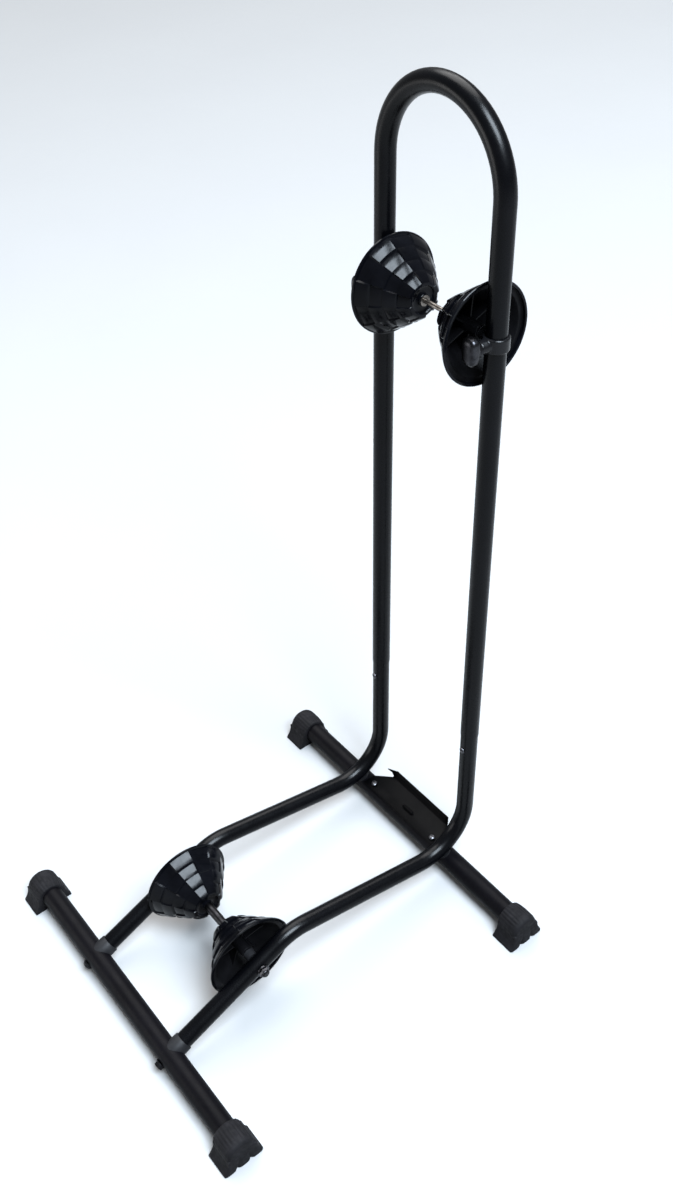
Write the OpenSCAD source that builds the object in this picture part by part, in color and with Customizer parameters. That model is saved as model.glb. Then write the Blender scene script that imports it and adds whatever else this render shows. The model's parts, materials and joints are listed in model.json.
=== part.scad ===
// Two-roller bicycle wheel stand: a tube frame on two cross tubes, with a fixed
// lower pair of cone rollers and an upper pair that slides on the mast legs.
// Millimetres. +Z is up, +X runs along the cross tubes, +Y points to the mast side.
// The origin is on the floor at the centre of the stand's bounding box.

/* [Frame tubes] */
// Outer diameter of the two bent base tubes
tube_d = 20; // [19:0.5:21]
// Outer diameter of the hoop that forms the mast
hoop_d = 21; // [20:0.5:22]
// Wall thickness of every tube
tube_wall = 1.5; // [1:0.25:2]
// Outer diameter of the two cross tubes
cross_d = 25; // [22:1:32]
// Centre distance of the two frame legs
gauge = 162; // [162:2:200]
// Centre distance of the front and rear cross tubes
cross_gap = 397; // [370:1:430]
// Length of each cross tube
cross_len = 438; // [400:2:440]
// Centre-line radius of every side bend
bend_r = 60; // [55:1:65]
// Backward lean of the mast from vertical, in degrees
lean = 5; // [2:0.5:8]
// Upward slope of the rails towards the front, in degrees
rail_rise = 13.5; // [10:0.5:16]
// Downward slope of the noses to the front cross tube, in degrees
nose_drop = 21; // [19:0.5:25]
// How far forward of the cross tube's top the rear bends rest, in degrees
seat_angle = 19; // [10:1:25]

/* [Mast] */
// Length of each mast leg from the rear bend to the start of the arch
leg_len = 742; // [700:5:800]
// Height along the leg of the joint between base tube and hoop
seam_h = 117; // [100:1:140]
// Distance of each joint screw below the seam
joint_screw_drop = 22; // [15:1:30]
// Length of the swaged ends that plug into the base tubes
swage_len = 45; // [40:1:60]

/* [Rollers] */
// Radius of the rollers at their rim
rim_r = 53; // [45:1:54]
// Radius of the rollers at their tip
tip_r = 18; // [14:0.5:20]
// Half of the gap between the tips of a pair
tip_x = 20; // [16:1:24]
// Distance of a roller's rim from the middle of the stand
rim_x = 68; // [66:0.5:68]
// Wall thickness of the rollers
roller_wall = 2.4; // [2:0.2:3]
// Number of terraces along a roller
terraces = 4; // [3:1:8]
// Number of webs inside a roller
webs = 6; // [4:1:10]
// Height of the upper axle along the mast leg
carriage_h = 616; // [450:1:680]
// Distance of the lower axle from the front cross tube, along the nose
lower_axle_s = 132; // [120:1:136]
// Diameter of the upper axle
upper_axle_d = 5; // [5:0.5:8]
// Diameter of the lower axle bolt
lower_axle_d = 8; // [6:1:8]

/* [Collars and clamps] */
// Outer diameter of the sliding collars
collar_d = 26; // [25.5:0.5:28]
// Height of the sliding collars
collar_h = 14.5; // [14.5:0.5:20]
// Distance of the collars' middle below the upper axle
collar_drop = 2.5; // [0:0.5:3.5]
// Distance from the leg's axis to the back of the clamp knob
knob_reach = 22; // [19:0.5:24]
// Height of the clamp knob's wing
wing_h = 27; // [24:1:32]

/* [Tyre stop plate] */
// Thickness of the plate
plate_t = 1.6; // [1.2:0.2:2]
// Half width of the plate
plate_x = 70; // [66:0.5:70]
// How far the plate reaches behind the cross tube's axis
plate_back = 25; // [20:1:28]
// Height of the turned-up rear lip
lip_h = 8; // [5:0.5:9]

/* [Feet] */
// Thickness of rubber under a cross tube
sole_t = 6.5; // [5:0.5:9]
// Width of a foot on the floor
foot_w = 47.5; // [44:0.5:60]
// How far the soles sit in front of the cross tubes' axes
foot_shift = 1.8; // [0:0.1:3]
// Distance of a foot's outer end from the middle of the stand
foot_end_x = 225; // [224:1:228]

/* [Hidden] */
$fn = 96;

tube_r = tube_d / 2;
bore_r = tube_r - tube_wall;
hoop_r = hoop_d / 2;
swage_r = bore_r - 0.1;
swage_bore_r = swage_r - tube_wall;
cross_r = cross_d / 2;
leg_x = gauge / 2;
saddle_t = 1.5;
axis_z = cross_r + sole_t;
run_gap = 0.06;   // radial clearance of every turning or sliding fit
face_gap = 0.4;   // gap between faces of pieces that move against each other
lap = 0.4;        // how far a straight tube run laps over a bend
lap_step = 0.01;  // radial step at such a lap

// Side view points are [y, z], measured from the rear cross tube's axis.
function cross2(a, b) = a[0] * b[1] - a[1] * b[0];
mast_u = [sin(lean), cos(lean)];
rail_u = [-cos(rail_rise), sin(rail_rise)];
nose_u = [cos(nose_drop), sin(nose_drop)];
seat_u = [-sin(seat_angle), cos(seat_angle)];
front_axis = [-cross_gap, 0];
bend_c = (bend_r + tube_r + cross_r + saddle_t) * seat_u;
mast_foot = bend_c + bend_r * [cos(lean), -sin(lean)];
rail_foot = bend_c - bend_r * [sin(rail_rise), cos(rail_rise)];
rear_turn = 90 - lean + rail_rise;
knee_turn = rail_rise + nose_drop;
knee_tan = bend_r * tan(knee_turn / 2);
rail_s = cross2(front_axis - rail_foot, nose_u) / cross2(rail_u, nose_u);
knee = rail_foot + rail_s * rail_u;
knee_c = knee - knee_tan * rail_u - bend_r * [sin(rail_rise), cos(rail_rise)];
nose_end_s = cross_r + saddle_t;
nose_end = front_axis + nose_end_s * nose_u;
nose_len = norm(knee - front_axis) - knee_tan - nose_end_s;
lower_axle = front_axis + lower_axle_s * nose_u;
upper_axle = mast_foot + carriage_h * mast_u;

// The bounding box runs from the front feet to the hoop's top or the upper rollers' rims.
box_front = -cross_gap - foot_shift - foot_w / 2;
box_back = max(mast_foot[0] + (leg_len + leg_x) * mast_u[0] + hoop_r, upper_axle[0] + rim_r);
origin_y = -(box_front + box_back) / 2;

// ---- placing ----
module on_stand() {
    translate([0, origin_y, axis_z]) children();
}
// Puts local +Z along direction u at side view point p
module along(p, u) {
    translate([0, p[0], p[1]]) rotate([atan2(-u[0], u[1]), 0, 0]) children();
}
// Mast frame: local +Z runs up the mast legs, local -Y faces the front
module on_mast(h = 0) {
    on_stand() along(mast_foot, mast_u) translate([0, 0, h]) children();
}
// Turns a drawing in [y, z] so that it extrudes along +X
module side_view() {
    rotate([90, 0, 90]) children();
}
// Puts local +Z along +X at side view point p
module on_axle(p, x) {
    on_stand() translate([x, p[0], p[1]]) rotate([0, 90, 0]) children();
}
module both_sides() {
    for (side = [-1, 1]) translate([side * leg_x, 0, 0]) children();
}

// ---- shared shapes ----
module side_bend(c, start, turn) {
    side_view() translate([c[0], c[1], 0]) rotate([0, 0, start])
        rotate_extrude(angle = turn) translate([bend_r, 0]) children();
}
module ring(inner_r, outer_r, h) {
    rotate_extrude() translate([inner_r, 0]) square([outer_r - inner_r, h]);
}
// Section of a bend. Its skins lie inside those of the straight runs that lap over it.
module bend_section() {
    difference() {
        circle(tube_r - lap_step);
        circle(bore_r + lap_step);
    }
}
// A straight run of a base tube, lapping onto the bends at its start and end
module straight_run(p, u, len, start_lap, end_lap) {
    along(p, u) translate([0, 0, -start_lap]) ring(bore_r, tube_r, len + start_lap + end_lap);
}
module rear_bend() {
    side_bend(bend_c, -90 - rail_rise, rear_turn) children();
}
module knee_bend() {
    side_bend(knee_c, 90 - rail_rise, knee_turn) children();
}
// One bent tube: mast stub, rear bend, rail, knee and nose, each with its own hole
module base_tube(side) {
    color([0.08, 0.08, 0.09]) on_stand() translate([side * leg_x, 0, 0]) {
        difference() {
            straight_run(mast_foot, mast_u, seam_h, lap, 0);
            along(mast_foot + (seam_h - joint_screw_drop) * mast_u, mast_u)
                rotate([90, 0, 0]) cylinder(r = 2.6, h = tube_d);
        }
        difference() {
            rear_bend() bend_section();
            along(cross_r * seat_u, seat_u) cylinder(r = 4.5, h = saddle_t + 5);
        }
        straight_run(rail_foot, rail_u, rail_s - knee_tan, lap, lap);
        knee_bend() bend_section();
        difference() {
            straight_run(nose_end, nose_u, nose_len, 0, lap);
            translate([-tube_d, lower_axle[0], lower_axle[1]]) rotate([0, 90, 0])
                cylinder(r = lower_axle_d / 2 + 0.1, h = 2 * tube_d);
        }
    }
}
// Pan or hex head screw: the shank runs up +Z from the head, which hangs below z = 0
module bolt(shank_r, shank_len, head_r, head_h, sides = 96) {
    cylinder(r = shank_r, h = shank_len);
    translate([0, 0, -head_h]) cylinder(r = head_r, h = head_h, $fn = sides);
}
// A cross tube with bolt holes that follow direction u
module cross_tube(p, u) {
    difference() {
        translate([-cross_len / 2, p[0], p[1]]) rotate([0, 90, 0]) cylinder(r = cross_r, h = cross_len);
        translate([-cross_len / 2 - 1, p[0], p[1]]) rotate([0, 90, 0])
            cylinder(r = cross_r - tube_wall, h = cross_len + 2);
        both_sides() along(p, u) translate([0, 0, -cross_d]) cylinder(r = 3.2, h = 2 * cross_d);
    }
}

// ---- frame ----
module hoop_run(r, leg_start) {
    both_sides() translate([0, 0, leg_start]) cylinder(r = r, h = leg_len - leg_start);
    translate([0, 0, leg_len]) rotate([90, 0, 0])
        rotate_extrude(angle = 180) translate([leg_x, 0]) circle(r);
}
module hoop_tube() {
    color([0.08, 0.08, 0.09]) on_mast() difference() {
        union() {
            hoop_run(hoop_r, seam_h);
            both_sides() translate([0, 0, seam_h - swage_len]) cylinder(r = swage_r, h = swage_len + 1);
        }
        hoop_run(hoop_r - tube_wall, seam_h + 3);
        both_sides() {
            translate([0, 0, seam_h - swage_len - 1]) cylinder(r = swage_bore_r, h = swage_len + 6);
            translate([0, 0, seam_h - joint_screw_drop]) rotate([90, 0, 0]) cylinder(r = 2.6, h = tube_d);
        }
    }
}
module base_tube_left() {
    base_tube(-1);
}
module base_tube_right() {
    base_tube(1);
}
module joint_screws() {
    color([0.75, 0.75, 0.77]) on_mast(seam_h - joint_screw_drop) both_sides()
        translate([0, -tube_r, 0]) rotate([-90, 0, 0]) bolt(2.5, 9.5, 4, 1.8);
}
module joint_nuts() {
    nut_face = swage_bore_r - 1.8;
    color([0.7, 0.7, 0.72]) on_mast(seam_h - joint_screw_drop) both_sides()
        translate([0, -nut_face, 0]) rotate([-90, 0, 0]) difference() {
            cylinder(r = 4.4, h = 4, $fn = 6);
            translate([0, 0, -1]) cylinder(r = 2.5, h = 6);
        }
}

// ---- rear cross tube and its fastening ----
module rear_cross_tube() {
    color([0.1, 0.1, 0.11]) on_stand() difference() {
        cross_tube([0, 0], seat_u);
        at_plate_screws() cylinder(r = 2.6, h = cross_d);
    }
}
module rear_bolts() {
    color([0.2, 0.2, 0.21]) on_stand() both_sides() along([0, 0], seat_u)
        translate([0, 0, -cross_r]) bolt(3, cross_d + saddle_t + 9, 5.4, 3);
}
module rear_saddles() {
    color([0.12, 0.12, 0.12]) on_stand() both_sides() difference() {
        along([0, 0], seat_u) translate([0, 0, cross_r - 3]) cylinder(r = 8.5, h = saddle_t + 6);
        translate([-cross_d, 0, 0]) rotate([0, 90, 0]) cylinder(r = cross_r, h = 2 * cross_d);
        rear_bend() circle(tube_r);
        along([0, 0], seat_u) cylinder(r = 4.5, h = 2 * cross_d);
    }
}
module rear_rivet_nuts() {
    color([0.7, 0.68, 0.6]) on_stand() both_sides() along(cross_r * seat_u, seat_u) ring(3, 4.5, 12);
}

// ---- front cross tube and its fastening ----
module front_cross_tube() {
    color([0.1, 0.1, 0.11]) on_stand() cross_tube(front_axis, nose_u);
}
module front_bolts() {
    washer_t = 1.2;
    color([0.22, 0.22, 0.23]) on_stand() both_sides() along(front_axis, nose_u)
        translate([0, 0, -cross_r - washer_t]) bolt(3, cross_d + saddle_t + 14, 5.6, 4, 6);
}
module front_washers() {
    color([0.25, 0.25, 0.26]) on_stand() both_sides() along(front_axis, nose_u)
        translate([0, 0, -cross_r - 1.2]) ring(3, 6.5, 1.2);
}
module front_saddles() {
    color([0.1, 0.1, 0.1]) on_stand() both_sides() difference() {
        along(front_axis, nose_u) translate([0, 0, cross_r - 6]) cylinder(r = tube_r + 1, h = saddle_t + 6);
        translate([-cross_d, front_axis[0], 0]) rotate([0, 90, 0]) cylinder(r = cross_r, h = 2 * cross_d);
        along(front_axis, nose_u) cylinder(r = 3.2, h = cross_d);
    }
}
module front_tube_inserts() {
    color([0.6, 0.6, 0.62]) on_stand() both_sides() along(nose_end, nose_u) ring(3, bore_r, 16);
}

// ---- feet ----
foot_base_x = foot_end_x - 32;
foot_top_r = cross_r + 5;
module foot_base() {
    lobe_r = foot_w / 6;
    linear_extrude(2.5) {
        translate([foot_base_x, -foot_w / 2]) square([foot_end_x - lobe_r - foot_base_x, foot_w]);
        for (i = [-1, 0, 1]) translate([foot_end_x - lobe_r, i * 2 * lobe_r]) circle(lobe_r);
    }
}
// Point t = 0..1 of a foot's flank, from the floor up to the widest point of its round top
function flank(side, t) = [
    side * (foot_top_r + (foot_w / 2 - foot_top_r) * (1 - t) * (1 - t)) - foot_shift * (1 - t),
    -axis_z + 2 + t * (axis_z - 2)
];
// Bell-shaped cross-section of a foot, in [y, z] round the cross tube's axis
module foot_section() {
    polygon(concat(
        [for (t = [0:0.2:0.8]) flank(1, t)],
        [for (a = [0:7.5:180]) foot_top_r * [cos(a), sin(a)]],
        [for (t = [0.8:-0.2:0]) flank(-1, t)]
    ));
}
module foot(side, p) {
    collar_start = foot_end_x - 33;
    color([0.2, 0.2, 0.21]) on_stand() translate([0, p[0], 0]) mirror([side < 0 ? 1 : 0, 0, 0])
        difference() {
            union() {
                translate([0, -foot_shift, -axis_z]) foot_base();
                translate([foot_base_x + 1, 0, 0]) side_view() linear_extrude(28) foot_section();
                translate([collar_start, 0, 0]) rotate([0, 90, 0]) cylinder(r = cross_r + 3.3, h = 12);
            }
            translate([collar_start - 1, 0, 0]) rotate([0, 90, 0])
                cylinder(r = cross_r, h = cross_len / 2 - collar_start + 1);
        }
}
module foot_front_left() {
    foot(-1, front_axis);
}
module foot_front_right() {
    foot(1, front_axis);
}
module foot_rear_left() {
    foot(-1, [0, 0]);
}
module foot_rear_right() {
    foot(1, [0, 0]);
}

// ---- tyre stop plate ----
plate_front = -9;
plate_chamfer = plate_x + 5.8;
module at_plate_screws() {
    for (x = [-57, 57]) translate([x, -2, 0]) children();
}
module tyre_stop_plate() {
    back_x = plate_chamfer - plate_back;
    lip_lean = 4.5;
    color([0.07, 0.07, 0.08]) on_stand() translate([0, 0, cross_r]) difference() {
        union() {
            linear_extrude(plate_t) polygon([
                [-plate_x, plate_front], [plate_x, plate_front],
                [plate_x, plate_chamfer - plate_x], [back_x, plate_back],
                [-back_x, plate_back], [-plate_x, plate_chamfer - plate_x]
            ]);
            translate([-back_x, 0, 0]) side_view() linear_extrude(2 * back_x) polygon([
                [plate_back - plate_t, 0], [plate_back, 0],
                [plate_back + lip_lean, lip_h], [plate_back + lip_lean - plate_t, lip_h]
            ]);
            // shallow pressed bead in the middle
            translate([-10, 3, plate_t - 7.2]) rotate([0, 90, 0]) cylinder(r = 8, h = 20);
        }
        translate([-plate_x, -10, -20]) cube([2 * plate_x, 30, 20]);
        at_plate_screws() translate([0, 0, -1]) cylinder(r = 2.6, h = plate_t + 2);
    }
}
module plate_screws() {
    color([0.8, 0.8, 0.82]) on_stand() at_plate_screws()
        translate([0, 0, cross_r + plate_t]) mirror([0, 0, 1]) bolt(2.5, 9, 4.2, 2.2);
}

// ---- rollers ----
roller_len = rim_x - tip_x;
hub_end = rim_x - 6;
// Outline of the outer skin: a cone cut into terraces, then the rim's flange
function skin(i) = let(
        z = i * (roller_len - 4) / terraces,
        r = tip_r + (rim_r - 3 - tip_r) * i / terraces
    ) [r, z];
module roller_solid(inset) {
    step = 0.8;
    rotate_extrude() polygon(concat(
        [[0, inset], [tip_r - inset, inset]],
        [for (i = [1:terraces]) each [
            skin(i) + [-inset - step, -1.2], skin(i) + [-inset, 0]
        ]],
        [[rim_r - inset, roller_len - 3], [rim_r - inset, roller_len], [0, roller_len]]
    ));
}
// One roller, tip at z = 0 and open at the rim
module roller(axle_r) {
    hub_r = axle_r + 3.5;
    difference() {
        union() {
            difference() {
                roller_solid(0);
                translate([0, 0, 0.01]) roller_solid(roller_wall);
            }
            intersection() {
                roller_solid(1);
                union() {
                    cylinder(r = hub_r, h = hub_end - tip_x);
                    for (i = [0:webs - 1]) rotate([0, 0, i * 360 / webs])
                        translate([0, -0.8, 0]) cube([rim_r, 1.6, roller_len - 12]);
                    ring(24, 25.6, roller_len - 12);
                }
            }
        }
        translate([0, 0, -1]) cylinder(r = axle_r + run_gap, h = roller_len + 2);
    }
}
module roller_at(p, side, axle_r) {
    color([0.03, 0.03, 0.04]) mirror([side < 0 ? 1 : 0, 0, 0]) on_axle(p, tip_x) roller(axle_r);
}
module lower_roller_left() {
    roller_at(lower_axle, -1, lower_axle_d / 2);
}
module lower_roller_right() {
    roller_at(lower_axle, 1, lower_axle_d / 2);
}
module upper_roller_left() {
    roller_at(upper_axle, -1, upper_axle_d / 2);
}
module upper_roller_right() {
    roller_at(upper_axle, 1, upper_axle_d / 2);
}

// ---- lower axle ----
bolt_face = leg_x + tube_r;
lower_washer_t = 1.6;
module lower_axle_bolt() {
    grip = bolt_face + lower_washer_t;
    color([0.35, 0.35, 0.37]) on_axle(lower_axle, -grip) bolt(lower_axle_d / 2, 2 * grip + 6, 6.6, 4.2, 6);
}
module lower_axle_nut() {
    color([0.6, 0.6, 0.62]) on_axle(lower_axle, bolt_face + lower_washer_t) difference() {
        cylinder(r = 6.2, h = 4.8, $fn = 6);
        translate([0, 0, -1]) cylinder(r = lower_axle_d / 2, h = 7);
    }
}
module lower_axle_washers() {
    color([0.6, 0.6, 0.62]) for (x = [-bolt_face - lower_washer_t, bolt_face])
        on_axle(lower_axle, x) ring(lower_axle_d / 2, 7.5, lower_washer_t);
}
module lower_axle_sleeve() {
    half = tip_x - face_gap;
    bore = lower_axle_d / 2;
    color([0.09, 0.09, 0.1]) on_axle(lower_axle, -half) ring(bore, bore + 1.25, 2 * half);
}
module lower_axle_spacers() {
    start = hub_end + face_gap;
    len = leg_x - tube_r - start;
    color([0.15, 0.15, 0.16]) for (x = [-start - len, start])
        on_axle(lower_axle, x) ring(lower_axle_d / 2, 6.5, len);
}

// ---- upper carriage ----
axle_end_x = leg_x - hoop_r - 0.5;
boss_start = hub_end + 1.6;
module upper_axle() {
    color([0.55, 0.53, 0.5]) on_axle(upper_axle, -axle_end_x)
        cylinder(r = upper_axle_d / 2, h = 2 * axle_end_x);
}
module upper_axle_clips() {
    color([0.5, 0.5, 0.52]) for (x = [-tip_x + face_gap, tip_x - face_gap - 1])
        on_axle(upper_axle, x) ring(upper_axle_d / 2, 5.5, 1);
}
module upper_axle_washers() {
    color([0.7, 0.7, 0.72]) for (x = [-boss_start, boss_start - 1.1])
        on_axle(upper_axle, x) ring(upper_axle_d / 2, 6, 1.1);
}
module collar(side) {
    bore = hoop_r + run_gap;
    chamfer = 1.2;
    color([0.16, 0.16, 0.17]) on_mast(carriage_h) mirror([side < 0 ? 1 : 0, 0, 0]) difference() {
        union() {
            translate([leg_x, 0, -collar_drop - collar_h / 2]) rotate_extrude() polygon([
                [0, 0], [collar_d / 2 - chamfer, 0], [collar_d / 2, chamfer],
                [collar_d / 2, collar_h - chamfer], [collar_d / 2 - chamfer, collar_h], [0, collar_h]
            ]);
            translate([boss_start, 0, 0]) rotate([0, 90, 0]) cylinder(r = 7, h = leg_x - boss_start);
            translate([leg_x, 0, -collar_drop]) rotate([90, 0, 0]) cylinder(r = 6.5, h = knob_reach - 1);
        }
        translate([leg_x, 0, -2 * collar_h]) cylinder(r = bore, h = 4 * collar_h);
        translate([boss_start - 1, 0, 0]) rotate([0, 90, 0])
            cylinder(r = upper_axle_d / 2, h = axle_end_x - boss_start + 1);
        translate([leg_x, 0, -collar_drop]) rotate([90, 0, 0])
            cylinder(r = 3 + run_gap, h = knob_reach + 2);
    }
}
module collar_left() {
    collar(-1);
}
module collar_right() {
    collar(1);
}
// Clamp frame: local +Z points forward, away from the leg
module on_clamp(side) {
    on_mast(carriage_h - collar_drop) translate([side * leg_x, 0, 0]) rotate([90, 0, 0]) children();
}
module clamp_screw(side) {
    tip = hoop_r + face_gap;
    color([0.6, 0.6, 0.62]) on_clamp(side) translate([0, 0, tip]) cylinder(r = 3, h = knob_reach + 7 - tip);
}
module clamp_screw_left() {
    clamp_screw(-1);
}
module clamp_screw_right() {
    clamp_screw(1);
}
module clamp_knob(side) {
    wing_r = 6.5;
    wing_t = 11;
    neck = 3;
    color([0.3, 0.3, 0.31]) on_clamp(side) translate([0, 0, knob_reach]) difference() {
        union() {
            cylinder(r = 8, h = neck + 3);
            for (end = [-1, 1]) translate([0, end * (wing_h / 2 - wing_r), neck])
                cylinder(r = wing_r, h = wing_t);
            translate([-wing_r, -wing_h / 2 + wing_r, neck])
                cube([2 * wing_r, wing_h - 2 * wing_r, wing_t]);
        }
        translate([0, 0, -1]) cylinder(r = 3, h = 8);
    }
}
module clamp_knob_left() {
    clamp_knob(-1);
}
module clamp_knob_right() {
    clamp_knob(1);
}

hoop_tube();
base_tube_left();
base_tube_right();
joint_screws();
joint_nuts();
rear_cross_tube();
rear_bolts();
rear_saddles();
rear_rivet_nuts();
front_cross_tube();
front_bolts();
front_washers();
front_saddles();
front_tube_inserts();
foot_front_left();
foot_front_right();
foot_rear_left();
foot_rear_right();
tyre_stop_plate();
plate_screws();
lower_axle_bolt();
lower_axle_nut();
lower_axle_washers();
lower_axle_sleeve();
lower_axle_spacers();
lower_roller_left();
lower_roller_right();
upper_axle();
upper_axle_clips();
upper_axle_washers();
upper_roller_left();
upper_roller_right();
collar_left();
collar_right();
clamp_screw_left();
clamp_screw_right();
clamp_knob_left();
clamp_knob_right();
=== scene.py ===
import json
from math import asin, atan2, cos, floor, hypot, pi, radians, sin, sqrt

import bmesh
import bpy
from mathutils import Matrix, Quaternion, Vector


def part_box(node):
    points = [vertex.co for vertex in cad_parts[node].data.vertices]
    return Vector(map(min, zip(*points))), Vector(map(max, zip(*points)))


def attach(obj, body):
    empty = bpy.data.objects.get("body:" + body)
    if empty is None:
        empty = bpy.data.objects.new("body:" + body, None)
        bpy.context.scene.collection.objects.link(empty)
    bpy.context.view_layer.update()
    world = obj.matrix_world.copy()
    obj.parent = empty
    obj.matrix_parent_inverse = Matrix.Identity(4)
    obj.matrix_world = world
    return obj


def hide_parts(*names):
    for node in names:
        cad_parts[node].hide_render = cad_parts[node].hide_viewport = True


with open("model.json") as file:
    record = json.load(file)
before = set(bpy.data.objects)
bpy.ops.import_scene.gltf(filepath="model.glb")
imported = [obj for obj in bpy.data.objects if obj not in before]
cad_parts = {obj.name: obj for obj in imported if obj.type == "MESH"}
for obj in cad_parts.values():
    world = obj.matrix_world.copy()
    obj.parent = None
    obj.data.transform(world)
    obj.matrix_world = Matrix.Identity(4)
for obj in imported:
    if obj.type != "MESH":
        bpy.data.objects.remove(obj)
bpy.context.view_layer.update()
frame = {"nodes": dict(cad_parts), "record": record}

MM = 0.001
TAU = 2 * pi

# ---- driving dimensions, millimetres ----
TUBE_R, HOOP_R, CROSS_R = 10.0, 10.5, 12.5
LEG_X = 81.0
LEAN, NOSE_DROP, SEAT = radians(5), radians(21), radians(19)
SADDLE_T, WASHER_T, LOWER_WASHER_T = 1.5, 1.2, 1.6
TIP_X, RIM_X = 20.0, 68.0
RIM_R, TIP_R = 51.8, 17.6
LOWER_AXLE_R, UPPER_AXLE_R = 4.0, 2.5
COLLAR_R, COLLAR_H, COLLAR_DROP = 13.0, 14.5, 2.5
BOSS_X = 63.6
KNOB_REACH = 22.0
FOOT_NEAR, FOOT_FAR, FOOT_END_X = 25.5, 22.4, 225.0
PLATE_T = 1.6


def box_centre(node):
    low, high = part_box(node)
    return (low + high) / 2 / MM


def box_mm(node):
    low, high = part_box(node)
    return low / MM, high / MM


LOWER_AXLE = box_centre("lower_roller_left")
UPPER_AXLE = box_centre("upper_roller_left")
FRONT = box_centre("front_cross_tube")
REAR = box_centre("rear_cross_tube")
MAST_UP = Vector((0, sin(LEAN), cos(LEAN)))
MAST_FORWARD = Vector((0, -cos(LEAN), sin(LEAN)))
NOSE_UP = Vector((0, cos(NOSE_DROP), sin(NOSE_DROP)))
SEAT_UP = Vector((0, -sin(SEAT), cos(SEAT)))


# ---- mesh helpers ----
def add_object(name, mesh, material, smooth=True, sharp_angle=None):
    piece = bpy.data.objects.new(name, mesh)
    bpy.context.scene.collection.objects.link(piece)
    if material is not None:
        mesh.materials.append(material)
    if smooth:
        mesh.shade_smooth()
    if sharp_angle is not None:
        mesh.set_sharp_from_angle(angle=radians(sharp_angle))
    return piece


def clean_mesh(bm, name):
    """Welds, recalculates the normals and hands over a mesh in metres."""
    bmesh.ops.remove_doubles(bm, verts=bm.verts, dist=1e-4)
    bmesh.ops.dissolve_degenerate(bm, dist=1e-4, edges=bm.edges)
    bmesh.ops.recalc_face_normals(bm, faces=bm.faces)
    mesh = bpy.data.meshes.new(name)
    bm.to_mesh(mesh)
    bm.free()
    mesh.transform(Matrix.Scale(MM, 4))
    return mesh


def grid_mesh(name, rows, close_start=True, close_end=True):
    """Closed solid from rings of points, each ring with the same number of points."""
    bm = bmesh.new()
    rings = [[bm.verts.new(p) for p in row] for row in rows]
    count = len(rings[0])
    for low, high in zip(rings, rings[1:]):
        for i in range(count):
            j = (i + 1) % count
            bm.faces.new((low[i], low[j], high[j], high[i]))
    if close_start:
        bm.faces.new(reversed(rings[0]))
    if close_end:
        bm.faces.new(rings[-1])
    return clean_mesh(bm, name)


def lathe(name, profile, segments=64):
    """Solid turned about local Z from (radius, z) points; off the axis it closes into a ring."""
    rows = [[(r * cos(TAU * k / segments), r * sin(TAU * k / segments), z)
             for k in range(segments)] for r, z in profile]
    on_axis = profile[0][0] < 1e-6 and profile[-1][0] < 1e-6
    if not on_axis:
        rows.append(rows[0])
    return grid_mesh(name, rows, close_start=False, close_end=False)


def placed(origin, z_axis, x_axis=(1, 0, 0)):
    """Matrix that puts local +Z along z_axis at origin (millimetres)."""
    z = Vector(z_axis).normalized()
    x = Vector(x_axis)
    x = (x - z * x.dot(z)).normalized()
    y = z.cross(x)
    matrix = Matrix((x, y, z)).transposed().to_4x4()
    matrix.translation = Vector(origin) * MM
    return matrix


ALONG_X = placed((0, 0, 0), (1, 0, 0), (0, 1, 0))
AGAINST_X = placed((0, 0, 0), (-1, 0, 0), (0, 1, 0))


def put(piece, matrix):
    """Moves an object's mesh in place and keeps its normals outward when the matrix mirrors."""
    piece.data.transform(matrix)
    if matrix.determinant() < 0:
        piece.data.flip_normals()
    return piece


def join_meshes(name, meshes):
    bm = bmesh.new()
    for mesh in meshes:
        bm.from_mesh(mesh)
    joined = bpy.data.meshes.new(name)
    bm.to_mesh(joined)
    bm.free()
    return joined


def boolean(target, cutters, operation):
    """Applies exact booleans to a mesh object and removes the cutters."""
    for cutter in cutters:
        modifier = target.modifiers.new(operation, "BOOLEAN")
        modifier.operation = operation
        modifier.solver = "EXACT"
        modifier.object = cutter
    graph = bpy.context.evaluated_depsgraph_get()
    result = bpy.data.meshes.new_from_object(target.evaluated_get(graph))
    target.modifiers.clear()
    target.data = result
    for cutter in cutters:
        bpy.data.objects.remove(cutter)
    return target


def soften(piece, voxel, smooth_steps):
    """Blends a union of solids into one moulded skin."""
    remesh = piece.modifiers.new("skin", "REMESH")
    remesh.mode = "VOXEL"
    remesh.voxel_size = voxel * MM
    remesh.use_smooth_shade = True
    relax = piece.modifiers.new("relax", "SMOOTH")
    relax.factor = 0.5
    relax.iterations = smooth_steps
    graph = bpy.context.evaluated_depsgraph_get()
    result = bpy.data.meshes.new_from_object(piece.evaluated_get(graph))
    piece.modifiers.clear()
    piece.data = result
    return piece


def edge_bevel(piece, width, segments=2, angle=35):
    bevel = piece.modifiers.new("edges", "BEVEL")
    bevel.width = width * MM
    bevel.segments = segments
    bevel.limit_method = "ANGLE"
    bevel.angle_limit = radians(angle)
    bevel.harden_normals = True
    return piece


def finish_piece(piece, body, slot, *nodes):
    """Rides a piece on its body and hides the CAD nodes it replaces; the slot argument is not used.
    """
    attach(piece, body)
    if nodes:
        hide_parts(*nodes)
    return piece


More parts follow.
